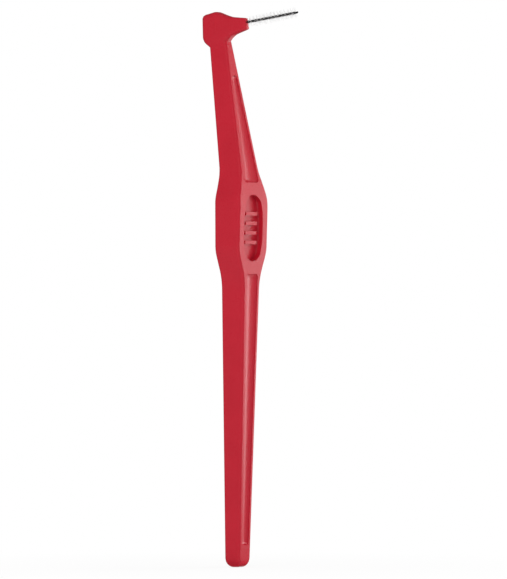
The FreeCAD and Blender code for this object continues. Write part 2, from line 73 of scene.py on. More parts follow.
def length_property(name, description, default):
    """Length in metres for the sidebar."""
    return bpy.props.FloatProperty(name=name, description=description, default=default,
                                   precision=6, subtype="DISTANCE", unit="LENGTH")


def colour_property(name, description, default):
    """Linear colour for the sidebar."""
    return bpy.props.FloatVectorProperty(name=name, description=description, default=default,
                                         size=4, min=0, max=1, subtype="COLOR")


def share_property(name, description, default):
    """Share from 0 to 1 for the sidebar."""
    return bpy.props.FloatProperty(name=name, description=description, default=default,
                                   min=0, max=1, subtype="FACTOR")


def angle_property(name, description, degrees):
    """Angle for the sidebar, given in degrees."""
    return bpy.props.FloatProperty(name=name, description=description, subtype="ANGLE",
                                   unit="ROTATION", default=math.radians(degrees))


def power_property(name, description, default):
    """Power of a lamp for the sidebar, in watts."""
    return bpy.props.FloatProperty(name=name, description=description, default=default,
                                   min=0, unit="POWER")


class HandleSettings(bpy.types.PropertyGroup):
    """Finish of the moulded handle."""

    red: colour_property("Red", "Colour of the plastic", (0.56, 0.012, 0.030, 1))
    deep_red: colour_property("Deep red", "Colour where pigment gathers", (0.53, 0.0105, 0.027, 1))
    gloss_roughness: share_property("Gloss", "Roughness of the polished faces", 0.26)
    grain_roughness: share_property("Grain gloss", "Roughness of the dull spots", 0.36)
    refraction: bpy.props.FloatProperty(name="Refraction", default=1.5,
                                        description="Refractive index of the plastic")
    cloud_size: length_property("Cloud size", "Size of the pigment clouds", 9 * MM)
    cloud_low_share: share_property("Cloud low", "Noise where a cloud starts", 0.35)
    cloud_high_share: share_property("Cloud high", "Noise where a cloud is full", 0.65)
    grain_size: length_property("Grain size", "Size of the mould's grain", 0.16 * MM)
    grain_low_share: share_property("Grain low", "Noise of the glossiest spots", 0.3)
    grain_high_share: share_property("Grain high", "Noise of the dullest spots", 0.7)
    grain_height: length_property("Grain height", "Height of the mould's grain", 0.004 * MM)
    grain_strength: share_property("Grain strength", "Strength of the grain's bump", 0.6)


class HeadSettings(bpy.types.PropertyGroup):
    """Rounded head at the top of the neck."""

    cut_height: length_property("Cut", "Height above which the head takes over", 135.2 * MM)
    centre_x: length_property("Centre X", "Wire axis over the neck, along X", -5.85 * MM)
    centre_z: length_property("Centre Z", "Wire axis over the neck, along Z", 141 * MM)
    half_width: length_property("Half width", "Half width of the head", 2 * MM)
    nozzle_half_width: length_property("Nozzle", "Half width of the nozzle end", 0.95 * MM)
    nozzle_end: length_property("Nozzle end", "Nozzle end in front of the centre", 8.75 * MM)
    cheek: length_property("Cheek", "Start of the taper to the nozzle", 0.4 * MM)
    rim: length_property("Rim", "Radius along the edges of the head", 1.2 * MM)
    neck_rim: length_property("Neck rim", "Radius along the edges of the neck", 0.62 * MM)
    nozzle_rim: length_property("Nozzle rim", "Radius along the edges of the nozzle", 0.4 * MM)
    stub_half_width: length_property("Stub", "Half width of the neck at its lower end", 2.175 * MM)
    stub_taper_share: share_property("Stub taper", "Loss of half width up the neck", 0.0912)
    stub_depth: length_property("Stub depth", "Lower end of the neck under the centre", 10 * MM)
    blend_low: length_property("Blend low", "Where the neck starts to widen", -6.4 * MM)
    blend_high: length_property("Blend high", "Where it is as wide as the head", -2.6 * MM)


class FluteSettings(bpy.types.PropertyGroup):
    """Scooped floors of the handle's flutes."""

    edge_depth: length_property("Edge depth", "Depth of a floor along its two sides", 0.15 * MM)
    base_depth: length_property("Base depth", "Depth of a floor's hidden underside", 1.15 * MM)
    scoop_share: share_property("Scoop", "Sag of a floor over its half width", 0.17)
    end_radius: length_property("End radius", "Radius at the ends of a floor", 1.2 * MM)
    overlap: length_property("Overlap", "How far a floor reaches into the walls", 0.06 * MM)


class RecessSettings(bpy.types.PropertyGroup):
    """Arched ends of the thumb recesses."""

    low: length_property("Low end", "Height of the lower end of a recess", 79.9 * MM)
    length: length_property("Length", "Length of a recess", 17.3 * MM)
    end_half_width: length_property("End", "Half width of a recess at its ends", 3.3 * MM)
    slant_share: share_property("Slant", "Gain of half width away from the ends", 0.288)
    arch_length: length_property("Arch", "Length of an arched end", 3.8 * MM)
    depth: length_property("Depth", "Depth of an arch, through the floor", 1.55 * MM)
    lip_depth: length_property("Lip", "Depth of an arch's face under the handle's", 0.012 * MM)
    bend_start: length_property("Bend", "Height where the front starts to bend", 92.56 * MM)
    bend_radius: length_property("Bend radius", "Radius of the front's bend", 36.4 * MM)
    overlap: length_property("Overlap", "How far an arch reaches into the walls", 0.3 * MM)
    end_overlap: length_property("End overlap", "How far it reaches into an end", 0.02 * MM)


class WireSettings(bpy.types.PropertyGroup):
    """Twisted wire, folded at the tip."""

    wire_radius: length_property("Wire radius", "Radius of the coated wire", 0.16 * MM)
    strand_radius: length_property("Strand radius", "Strand centre from the axis", 0.205 * MM)
    wire_length: length_property("Wire length", "Root in the nozzle to the tip", 18.74 * MM)
    anchor_length: length_property("Anchor", "Wire inside the nozzle", 3.2 * MM)
    ease_length: length_property("Ease", "Length over which the twist dies out", 0.6 * MM)
    tilt: angle_property("Tilt", "Upward tilt of the brush", 8.5)
    quarter_turns: bpy.props.IntProperty(name="Quarter turns", default=35,
                                         description="Quarter turns of the twist")
    coat: colour_property("Coat", "Colour of the coating", (0.002, 0.0018, 0.002, 1))
    worn_coat: colour_property("Worn coat", "Colour of thin coating", (0.008, 0.006, 0.007, 1))
    coat_roughness: share_property("Coat gloss", "Roughness of the coating", 0.6)
    worn_roughness: share_property("Worn gloss", "Roughness of thin coating", 0.8)
    coat_shine: share_property("Coat shine", "Level of the coating's reflections", 0.06)
    patch_size: length_property("Patch size", "Size of the patches of thin coating", 0.5 * MM)
    patch_low_share: share_property("Patch low", "Noise where a patch starts", 0.45)
    patch_high_share: share_property("Patch high", "Noise where a patch is full", 0.75)
    line_scale: bpy.props.FloatProperty(name="Line scale", default=6,
                                        description="Scale of the drawing lines")
    line_height: length_property("Line height", "Height of the drawing lines", 0.002 * MM)
    line_strength: share_property("Line strength", "Strength of the lines' bump", 0.4)


class FilamentSettings(bpy.types.PropertyGroup):
    """Nylon filaments held in the twist."""

    per_turn: bpy.props.IntProperty(name="Filaments", default=42,
                                    description="Filaments in one group")
    filament_radius: length_property("Radius", "Radius of one filament", 0.015 * MM)
    brush_radius: length_property("Brush radius", "Radius of the trimmed brush", 1.48 * MM)
    start_margin: length_property("Start", "Bare wire at the nozzle", 0.5 * MM)
    end_margin: length_property("End", "Bare wire at the tip", 0.7 * MM)
    bend: length_property("Bend", "How far the tips stray", 0.16 * MM)
    trim_share: share_property("Trim", "Unevenness of the filaments' length", 0.06)
    clear: colour_property("Clear", "Colour of a filament", (0.92, 0.91, 0.91, 1))
    # The next two settings give painted shade: a dark colour on the filaments near the wire in place
    # of the wire's shadow, and how far out that dark reaches
    painted_shade: colour_property("Shade", "Colour near the wire", (0.03, 0.025, 0.027, 1))
    painted_shade_share: share_property("Shade end", "Share of the way out that is shaded", 0.2)
    clear_share: share_property("Clear start", "Share of the way out where it is clear", 0.45)
    gloss_roughness: share_property("Gloss", "Roughness of the glossiest spots", 0.3)
    dull_roughness: share_property("Dull gloss", "Roughness of the dullest spots", 0.5)
    spot_size: length_property("Spot size", "Size of the dull spots", 0.3 * MM)
    spot_low_share: share_property("Spot low", "Noise of the glossiest spots", 0.3)
    spot_high_share: share_property("Spot high", "Noise of the dullest spots", 0.7)


class StageSettings(bpy.types.PropertyGroup):
    """Camera, lamps and floor."""

    azimuth: angle_property("Azimuth", "Turn of the camera round the handle", 30)
    elevation: angle_property("Elevation", "Height angle of the camera", 0)
    distance: length_property("Distance", "Camera to the brush", 2.0)
    camera_reach: length_property("Camera reach", "How far the camera sees", 20.0)
    view_height: length_property("View height", "Height of the view", 151.27 * MM)
    aim_height: length_property("Aim height", "Height of the view's middle", 72.5 * MM)
    aim_side: length_property("Aim side", "Middle of the view beside the origin", 4.13 * MM)
    sensor: length_property("Sensor", "Height of the camera's sensor", 24 * MM)
    white: colour_property("White", "Colour of the floor and the background", (1, 1, 1, 1))
    ambient_share: share_property("Ambient", "Even light from all round", 0.45)
    floor_roughness: share_property("Floor gloss", "Roughness of the floor", 0.9)
    shadow_share: share_property("Shadow", "How much of its shadow the floor shows", 0.12)
    shadow_reach: length_property("Shadow reach", "How far from the tail the shadow shows", 0.12)
    card_grey: colour_property("Card", "Colour of the dark cards", (0.12, 0.12, 0.12, 1))
    card_radius: length_property("Card radius", "Dark cards to the handle", 0.6)
    card_foot: length_property("Card foot", "Height of the cards over the floor", 0.3 * MM)
    card_height: length_property("Card height", "Height of the dark cards", 0.8)
    card_start: angle_property("Card start", "Azimuth of the round card's first edge", -170)
    card_end: angle_property("Card end", "Azimuth of the round card's last edge", 150)
    foot_radius: length_property("Foot radius", "Reach of the dark foot at the window", 0.13)
    visor_height: length_property("Visor height", "Lower edge of the raised card", 0.155)
    front_azimuth: angle_property("Front azimuth", "Azimuth of the front lamp", 12)
    front_rise: angle_property("Front rise", "Height angle of the front lamp", 25)
    front_power: power_property("Front power", "Watts of the front lamp", 3.6)
    side_azimuth: angle_property("Side azimuth", "Azimuth of the side lamp", 150)
    side_rise: angle_property("Side rise", "Height angle of the side lamp", 15)
    side_power: power_property("Side power", "Watts of the side lamp", 6.2)
    lamp_size: length_property("Lamp size", "Side of the front and side lamps", 0.6)
    lamp_distance: length_property("Lamp distance", "Front and side lamps to the handle", 0.9)
    rim_azimuth: angle_property("Rim azimuth", "Azimuth of the rim lamp", 160)
    rim_rise: angle_property("Rim rise", "Height angle of the rim lamp", 4)
    rim_power: power_property("Rim power", "Watts of the rim lamp", 0.2)
    rim_width: length_property("Rim width", "Width of the rim lamp", 0.12)
    rim_height: length_property("Rim height", "Height of the rim lamp", 0.23)
    rim_distance: length_property("Rim distance", "Rim lamp to the handle", 0.55)


def new_node(tree, kind, **values):
    """Node of a kind, with plain values on its inputs or its own settings."""
    node = tree.nodes.new(kind)
    for name, value in values.items():
        label = name.replace("_", " ")
        if label in node.inputs:
            node.inputs[label].default_value = value
        else:
            setattr(node, name, value)
    return node


def new_material(name):
    """Material with its node tree and its surface shader."""
    material = bpy.data.materials.new(name)
    material.use_nodes = True
    return material, material.node_tree, material.node_tree.nodes["Principled BSDF"]


def noise(tree, coordinates, size, detail):
    """Noise whose features are about one size across."""
    node = new_node(tree, "ShaderNodeTexNoise", Scale=1 / size, Detail=detail)
    tree.links.new(coordinates, node.inputs["Vector"])
    return node.outputs["Fac"]


def ranged(tree, source, low, high, to_low, to_high):
    """Value carried from one range to another."""
    node = new_node(tree, "ShaderNodeMapRange", From_Min=low, From_Max=high,
                    To_Min=to_low, To_Max=to_high)
    tree.links.new(source, node.inputs["Value"])
    return node.outputs["Result"]


def blend_colours(tree, factor, first, second):
    """Mix of two colours by a factor."""
    node = tree.nodes.new("ShaderNodeMix")
    node.data_type = "RGBA"
    tree.links.new(factor, node.inputs["Factor"])
    colours = [socket for socket in node.inputs if socket.type == "RGBA"]
    colours[0].default_value = first
    colours[1].default_value = second
    return [socket for socket in node.outputs if socket.type == "RGBA"][0]


def bump(tree, shader, height, distance, strength):
    """Bump of a height, fed to a shader's normal."""
    node = new_node(tree, "ShaderNodeBump", Distance=distance, Strength=strength)
    tree.links.new(height, node.inputs["Height"])
    tree.links.new(node.outputs["Normal"], shader.inputs["Normal"])


def grid_mesh(name, points, coordinates):
    """Mesh of tubes from points[tube, station, side, axis], closed round and capped.

    Each square joins station i to i + 1 and side j to j + 1, which wraps round. Each end is
    one face. The map runs once round the tube and, by the coordinates given for the
    stations, along it.
    """
    tubes, stations, sides = points.shape[:3]
    index = np.arange(tubes * stations * sides).reshape(tubes, stations, sides)
    after = np.roll(index, -1, axis=2)
    squares = np.stack([index[:, :-1], after[:, :-1], after[:, 1:], index[:, 1:]], axis=-1)
    first_caps = index[:, 0, ::-1]
    last_caps = index[:, -1]
    faces = squares.reshape(-1, 4).tolist() + first_caps.tolist() + last_caps.tolist()
    mesh = bpy.data.meshes.new(name)
    mesh.from_pydata(points.reshape(-1, 3).tolist(), [], faces)

    side, lower = np.meshgrid(np.arange(sides), coordinates[:-1])
    upper = np.broadcast_to(coordinates[1:, None], side.shape)
    around = np.stack([side, side + 1, side + 1, side], axis=-1) / sides
    along = np.stack([lower, lower, upper, upper], axis=-1)
    square_map = np.broadcast_to(np.stack([around, along], axis=-1), (tubes, *around.shape, 2))
    caps = np.zeros((2 * tubes * sides, 2))
    layer = mesh.uv_layers.new(name="wound")
    layer.data.foreach_set("uv", np.concatenate([square_map.reshape(-1, 2), caps]).ravel())
    mesh.polygons.foreach_set("use_smooth", np.ones(len(faces), dtype=bool))
    mesh.update()
    mesh.validate()
    return mesh


def new_piece(name, mesh, material, nodes):
    """Piece that rides on the part and stands for some of its nodes."""
    mesh.materials.append(material)
    piece = bpy.data.objects.new(name, mesh)
    bpy.context.scene.collection.objects.link(piece)
    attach(piece, "root")
    if nodes:
        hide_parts(*nodes)


def tilted_axes(tilt):
    """Way along the tilted wire, and way up from it."""
    along = math.cos(tilt) * X_AXIS + math.sin(tilt) * Z_AXIS
    upward = math.cos(tilt) * Z_AXIS - math.sin(tilt) * X_AXIS
    return along, upward


class WireLine:
    """Axis of the twist, and the angle of its first strand along it."""

    def __init__(self, wire):
        low, high = (np.array(corner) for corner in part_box("twisted_wire"))
        self.along, self.upward = tilted_axes(wire.tilt)
        self.root = (low + high) / 2 - self.along * wire.wire_length / 2
        self.end = wire.wire_length - wire.strand_radius - wire.wire_radius
        self.rate = ALL_ROUND * wire.quarter_turns / QUARTER_COUNT / self.end
        self.ease = wire.ease_length

    def angle(self, place):
        """Rate times place, less a parabola over the last stretch, where the twist dies out."""
        over = np.clip(place - (self.end - self.ease), 0, self.ease)
        return self.rate * (place - over ** 2 / (2 * self.ease))

    def points(self, place, across, up):
        """Points from a place along the axis and offsets across it and above it."""
        place, across, up = (np.asarray(value)[..., None] for value in (place, across, up))
        return self.root + place * self.along + across * Y_AXIS + up * self.upward


class HandleOperator(bpy.types.Operator):
    """Make the handle's red plastic, and its grip up to the head"""

    bl_idname = "interdental.handle"
    bl_label = "Handle"

    def execute(self, context):
        material = self.material(context.scene.brush_handle)
        grip = self.grip_mesh(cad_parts["handle"].data, context.scene.brush_head.cut_height)
        new_piece("moulded_grip", grip, material, ["handle"])
        return {"FINISHED"}

    def material(self, handle):
        """Red plastic with faint clouds of pigment and the mould's fine grain."""
        material, tree, shader = new_material(PLASTIC)
        place = tree.nodes.new("ShaderNodeTexCoord").outputs["Object"]
        clouds = noise(tree, place, handle.cloud_size, detail=3)
        clouds = ranged(tree, clouds, handle.cloud_low_share, handle.cloud_high_share, 0, 1)
        colour = blend_colours(tree, clouds, tuple(handle.red), tuple(handle.deep_red))
        tree.links.new(colour, shader.inputs["Base Color"])
        grain = noise(tree, place, handle.grain_size, detail=2)
        gloss = ranged(tree, grain, handle.grain_low_share, handle.grain_high_share,
                       handle.gloss_roughness, handle.grain_roughness)
        tree.links.new(gloss, shader.inputs["Roughness"])
        shader.inputs["IOR"].default_value = handle.refraction
        bump(tree, shader, grain, handle.grain_height, handle.grain_strength)
        return material

    def grip_mesh(self, source, cut_height):
        """Merged copy of the handle's faces that start under a height, with their own normals."""
        places = np.empty(3 * len(source.vertices))
        source.vertices.foreach_get("co", places)
        corners = np.empty(len(source.loops), dtype=int)
        source.loops.foreach_get("vertex_index", corners)
        normals = np.empty(3 * len(source.loops))
        source.corner_normals.foreach_get("vector", normals)
        places = places.reshape(-1, 3)
        faces = corners.reshape(-1, 3)
        normals = normals.reshape(-1, 3, 3)
        kept = places[faces][:, :, 2].min(axis=1) < cut_height
        used = places[faces[kept]].reshape(-1, 3)
        steps = np.round(used / MICRON).astype(int)
        first, merged = np.unique(steps, axis=0, return_index=True, return_inverse=True)[1:]
        mesh = bpy.data.meshes.new("moulded_grip")
        mesh.from_pydata(used[first].tolist(), [], merged.reshape(-1, 3).tolist())
        mesh.polygons.foreach_set("use_smooth", np.ones(len(mesh.polygons), dtype=bool))
        mesh.normals_split_custom_set(normals[kept].reshape(-1, 3).tolist())
        mesh.update()
        return mesh


# Side profile of the head in millimetres: along the wire, above it, and the corner's radius
HEAD_CORNERS = (
    (-4.5, -3.0, 2.6),
    (-2.5, -4.95, 0.5),
    (-2.49, -9.74, 0.9),
    (2.81, -10.53, 0.9),
    (2.55, -4.1, 0.9),
    (4.2, -2.7, 5),
    (8.75, -1.85, 0.45),
    (8.75, 1.1, 0.45),
    (4.2, 2.15, 9),
    (0.5, 4.15, 1.8),
    (-3.68, 3.75, 1.3),
)
# Point that the head's sides close round in millimetres: along the wire and above it
HEAD_MIDDLE = (0, -1)


class HeadOperator(bpy.types.Operator):
    """Round the head off in place of the plain one"""

    bl_idname = "interdental.head"
    bl_label = "Head"

    def execute(self, context):
        surface, layers = self.surface(context.scene.brush_head, context.scene.brush_wire.tilt)
        mesh = grid_mesh("moulded_head", surface, layers)
        new_piece("moulded_head", mesh, bpy.data.materials[PLASTIC], [])
        return {"FINISHED"}

    def profile(self, arc_steps=24, count=300):
        """Closed side profile with round corners, at even steps, against the clock.

        A corner's arc starts and ends at r tan(turn / 2) from it, with turn the change of
        direction there, and follows its circle between.
        """
        corners = np.array([corner[:2] for corner in HEAD_CORNERS])
        radii = [corner[2] for corner in HEAD_CORNERS]
        stretch = []
        for before, corner, after, radius in zip(np.roll(corners, 1, axis=0), corners,
                                                 np.roll(corners, -1, axis=0), radii):
            way_in = (corner - before) / np.linalg.norm(corner - before)
            way_out = (after - corner) / np.linalg.norm(after - corner)
            turn = math.atan2(way_in[0] * way_out[1] - way_in[1] * way_out[0], way_in @ way_out)
            start = corner - way_in * radius * math.tan(abs(turn) / 2)
            left = np.array([-way_in[1], way_in[0]]) * math.copysign(1, turn)
            angle = np.linspace(0, abs(turn), arc_steps)[:, None]
            stretch.append(start + radius * (np.sin(angle) * way_in + (1 - np.cos(angle)) * left))
        line = np.concatenate(stretch + [stretch[0][:1]])
        run = np.concatenate([[0], np.cumsum(np.linalg.norm(np.diff(line, axis=0), axis=1))])
        even = np.linspace(0, run[-1], count, endpoint=False)
        return np.stack([np.interp(even, run, line[:, axis]) for axis in (0, 1)], axis=-1) * MM

    def head_share(self, head, above):
        """Smooth step s s (3 - 2 s) from nothing on the neck to one on the head."""
        share = np.clip((above - head.blend_low) / (head.blend_high - head.blend_low), 0, 1)
        return share * share * (3 - 2 * share)

    def half_width(self, head, tilt, along, above):
        """Half width of the neck low down, of the head higher up, with a smooth step between."""
        rise = along * math.sin(tilt) + above * math.cos(tilt)
        taper = (head.half_width - head.nozzle_half_width) / (head.nozzle_end - head.cheek)
        on_head = head.half_width - taper * np.maximum(along - head.cheek, 0)
        on_neck = head.stub_half_width - head.stub_taper_share * (rise + head.stub_depth)
        return on_neck + self.head_share(head, above) * (on_head - on_neck)

    def surface(self, head, tilt, round_steps=9, rings=12, last_ring_share=0.01):
        """Side profile carried across the head, with rounded rims and closed sides.

        At an angle f from 0 to a quarter turn, the profile lies inside by r (1 - cos f), at
        w - r + r sin f from the middle plane, with r the rim's radius and w the half width.
        The sides close by rings at w, which shrink towards a point under the wire's axis, and
        by a cap over the last of them.
        """
        line = self.profile()
        tangent = np.roll(line, -1, axis=0) - np.roll(line, 1, axis=0)
        tangent /= np.linalg.norm(tangent, axis=1, keepdims=True)
        inward = np.stack([-tangent[:, 1], tangent[:, 0]], axis=-1)
        to_nozzle = np.clip((line[:, 0] - head.cheek) / (head.nozzle_end - head.cheek), 0, 1)
        rim = head.rim + (head.nozzle_rim - head.rim) * to_nozzle
        rim = head.neck_rim + self.head_share(head, line[:, 1]) * (rim - head.neck_rim)
        bend = np.linspace(0, math.pi / 2, round_steps)[:, None]
        inside = line + (rim * (1 - np.cos(bend)))[..., None] * inward
        wide = self.half_width(head, tilt, inside[..., 0], inside[..., 1])
        wide = wide - rim + rim * np.sin(bend)
        middle = np.array(HEAD_MIDDLE) * MM
        shrink = np.linspace(1, last_ring_share, rings)[1:, None, None]
        closing = middle + shrink * (inside[-1] - middle)
        flat = self.half_width(head, tilt, closing[..., 0], closing[..., 1])
        section = np.concatenate([inside, closing])
        wide = np.concatenate([wide, flat])
        section = np.concatenate([section[::-1], section])[:, ::-1]
        across = np.concatenate([-wide[::-1], wide])[:, ::-1]
        forward, upward = tilted_axes(tilt)
        centre = head.centre_x * X_AXIS + head.centre_z * Z_AXIS
        points = (centre + section[..., :1] * forward + section[..., 1:] * upward
                  + across[..., None] * Y_AXIS)
        return points[None], np.linspace(0, 1, len(points))


class Flute(NamedTuple):
    """Foot of a flute in the handle's face, its lean in degrees, and its outline."""

    name: str
    foot_x: float
    foot_z: float
    lean: float
    length: float
    low_half_width: float
    high_half_width: float
    side: int


FLUTES = (
    Flute("grip_front", 2.275 * MM, 5.8 * MM, 1.73, 70.8 * MM, 1.704 * MM, 2.975 * MM, 1),
    Flute("grip_back", -2.322 * MM, 5.8 * MM, -0.22, 70.8 * MM, 1.704 * MM, 2.975 * MM, -1),
    Flute("neck_front", 4.319 * MM, 100.2 * MM, -10.65, 28.5 * MM, 3.764 * MM, 1.166 * MM, 1),
    Flute("neck_back", -2.489 * MM, 100.2 * MM, -8.17, 28.5 * MM, 3.764 * MM, 1.166 * MM, -1),
)


def face_axes(flute):
    """Foot of a flute in the handle's face, the way along the face, and the way out of it."""
    lean = math.radians(flute.lean)
    along = math.sin(lean) * X_AXIS + math.cos(lean) * Z_AXIS
    outward = flute.side * (math.cos(lean) * X_AXIS - math.sin(lean) * Z_AXIS)
    return flute.foot_x * X_AXIS + flute.foot_z * Z_AXIS, along, outward


class FluteOperator(bpy.types.Operator):
    """Give the handle's four flutes their scooped floors"""

    bl_idname = "interdental.flutes"
    bl_label = "Flute floors"

    def execute(self, context):
        material = bpy.data.materials[PLASTIC]
        for flute in FLUTES:
            name = f"flute_floor_{flute.name}"
            mesh = grid_mesh(name, *self.surface(flute, context.scene.brush_flutes))
            mesh.set_sharp_from_angle(angle=CREASE)
            new_piece(name, mesh, material, [])
        return {"FINISHED"}

    def surface(self, flute, settings, stations=64, columns=33):
        """Closed loops across the flute, from its lower end to its upper one.

        The half width w runs straight from the low to the high one, and u is the way across
        over w, which goes past -1 and 1 by the overlap. The floor lies at a depth of e times
        (edge depth + share w (1 - u u)), where e is a quarter round over the end radius at
        both ends and 1 between them. Each loop is closed at the base depth, in the handle.
        """
        foot, along, outward = face_axes(flute)
        way = flute.length * (1 - np.cos(np.linspace(0, math.pi, stations))) / 2
        growth = (flute.high_half_width - flute.low_half_width) / flute.length
        half_width = (flute.low_half_width + growth * way)[:, None]
        reach = half_width + settings.overlap
        across = np.linspace(-1, 1, columns) * reach
        end_share = np.clip(np.minimum(way, flute.length - way) / settings.end_radius, 0, 1)
        ease = np.sqrt(1 - (1 - end_share) ** 2)[:, None]
        sag = settings.scoop_share * half_width * (1 - (across / half_width) ** 2)
        depth = ease * (settings.edge_depth + sag)
        base = np.full((stations, 2), settings.base_depth)
        depth = np.concatenate([depth, base], axis=1)
        across = np.concatenate([across, reach, -reach], axis=1)
        points = (foot + way[:, None, None] * along - depth[..., None] * outward
                  + flute.side * across[..., None] * Y_AXIS)
        return points[None], way


class RecessOperator(bpy.types.Operator):
    """Round the ends of the thumb recesses off"""

    bl_idname = "interdental.recesses"
    bl_label = "Recess ends"

    def execute(self, context):
        material = bpy.data.materials[PLASTIC]
        for flute in FLUTES:
            if flute.name.startswith("grip"):
                name = flute.name.replace("grip", "recess_arches")
                mesh = grid_mesh(name, *self.surface(flute, context.scene.brush_recesses))
                mesh.set_sharp_from_angle(angle=CREASE)
                new_piece(name, mesh, material, [])
        return {"FINISHED"}

    def surface(self, flute, recess, stations=25):
        """Four corners between the recess's own walls and half an ellipse at each end.

        The flute of the grip gives the face of the handle that the recess is cut in.
        At an angle t from 0 to a quarter turn, a corner is at A - (A + o) cos t from the end,
        and reaches from B sin t to past the wall, with A the arch's length, o the overlap at
        the end and B the half width of the recess where the arch stops. Where the front bends
        back to the neck, at h above the start of the bend, a corner lies deeper by
        h h / (2 r), with r the radius of the bend.
        """
        foot, along, outward = face_axes(flute)
        angle = np.linspace(0, math.pi / 2, stations)
        from_end = recess.arch_length - (recess.arch_length + recess.end_overlap) * np.cos(angle)
        widest = recess.end_half_width + recess.slant_share * recess.arch_length
        inner = widest * np.sin(angle)
        outer = recess.end_half_width + recess.slant_share * from_end + recess.overlap
        across = np.stack([inner, outer, outer, inner], axis=-1)
        depth = np.array([recess.lip_depth, recess.lip_depth, recess.depth, recess.depth])
        low = (recess.low - flute.foot_z) / along[2]
        tubes = []
        for end, way in ((low, 1), (low + recess.length, -1)):
            for mirror in (1, -1):
                place = end + way * from_end
                over_bend = np.maximum(flute.foot_z + place * along[2] - recess.bend_start, 0)
                drop = over_bend ** 2 / (2 * recess.bend_radius) * (flute.side > 0)
                points = (foot + place[:, None, None] * along
                          - (depth + drop[:, None])[..., None] * outward
                          + flute.side * mirror * across[..., None] * Y_AXIS)
                tubes.append(points[:, ::way * mirror])
        return np.stack(tubes), from_end


class WireOperator(bpy.types.Operator):
    """Twist the coated wire on itself, folded at the tip"""

    bl_idname = "interdental.wire"
    bl_label = "Twisted wire"

    def execute(self, context):
        wire = context.scene.brush_wire
        mesh = grid_mesh("coated_wire", *self.surface(wire))
        new_piece("coated_wire", mesh, self.material(wire), ["twisted_wire"])
        return {"FINISHED"}

    def surface(self, wire, stations=420, bends=24, sides=14):
        """Tube round a hairpin: out along one helix, half round a circle, back along the other.

        A strand's centre is the axis point plus its radius times the outward direction
        (cos a, sin a), with a the twist's angle, or half a turn more for the way back. Round
        the fold the outward direction turns from the first strand's to the second's through
        the axis. The tube is its centre plus the wire radius times cos b outward and sin b
        sideways, with sideways the product of the direction of travel and outward, and
        outward made square to both.
        """
        line = WireLine(wire)
        place = np.linspace(0, line.end, stations)
        angle = line.angle(place)
        fold = np.linspace(0, math.pi, bends)[1:-1]
        last = angle[-1]
        travel = np.concatenate([place, line.end + wire.strand_radius * np.sin(fold), place[::-1]])
        outward = np.concatenate([np.ones(stations), np.cos(fold), -np.ones(stations)])
        turn = np.concatenate([angle, np.full(bends - 2, last), angle[::-1]])
        ahead = np.concatenate([np.zeros(stations), np.sin(fold), np.zeros(stations)])
        across = outward * np.cos(turn)
        up = outward * np.sin(turn)
        centre = line.points(travel, wire.strand_radius * across, wire.strand_radius * up)
        out = (ahead[:, None] * line.along + across[:, None] * Y_AXIS
               + up[:, None] * line.upward)
        way = np.gradient(centre, axis=0)
        way /= np.linalg.norm(way, axis=1, keepdims=True)
        side = np.cross(way, out)
        side /= np.linalg.norm(side, axis=1, keepdims=True)
        out = np.cross(side, way)
        round_angle = np.arange(sides) * ALL_ROUND / sides
        ring = (np.cos(round_angle)[None, :, None] * out[:, None]
                + np.sin(round_angle)[None, :, None] * side[:, None])
        steps = np.linalg.norm(np.diff(centre, axis=0), axis=1)
        run = np.concatenate([[0], np.cumsum(steps)])
        return (centre[:, None] + wire.wire_radius * ring)[None], run

    def material(self, wire):
        """Dark coating, thinner and paler in patches, with faint drawing lines along it."""
        material, tree, shader = new_material("dark_wire_coating")
        place = tree.nodes.new("ShaderNodeTexCoord")
        patches = noise(tree, place.outputs["Object"], wire.patch_size, detail=3)
        patches = ranged(tree, patches, wire.patch_low_share, wire.patch_high_share, 0, 1)
        colour = blend_colours(tree, patches, tuple(wire.coat), tuple(wire.worn_coat))
        tree.links.new(colour, shader.inputs["Base Color"])
        gloss = ranged(tree, patches, 0, 1, wire.coat_roughness, wire.worn_roughness)
        tree.links.new(gloss, shader.inputs["Roughness"])
        shader.inputs["Specular IOR Level"].default_value = wire.coat_shine
        lines = new_node(tree, "ShaderNodeTexWave", Scale=wire.line_scale, Distortion=1)
        tree.links.new(place.outputs["UV"], lines.inputs["Vector"])
        bump(tree, shader, lines.outputs["Fac"], wire.line_height, wire.line_strength)
        return material


# Where in its own stretch of the wire a filament may lie, and the spread of its angle in radians
PLACE_SHARES = (0.2, 0.8)
ANGLE_SPREAD = 0.5
FILAMENT_SEED = 7
# Stations along a filament, from end to end, and its radius there over the full one
STATION_SHARES = np.array([-1, -0.985, -0.55, -0.12, 0.12, 0.55, 0.985, 1])
RADIUS_SHARES = np.array([0.55, 1, 1, 1, 1, 1, 1, 0.55])


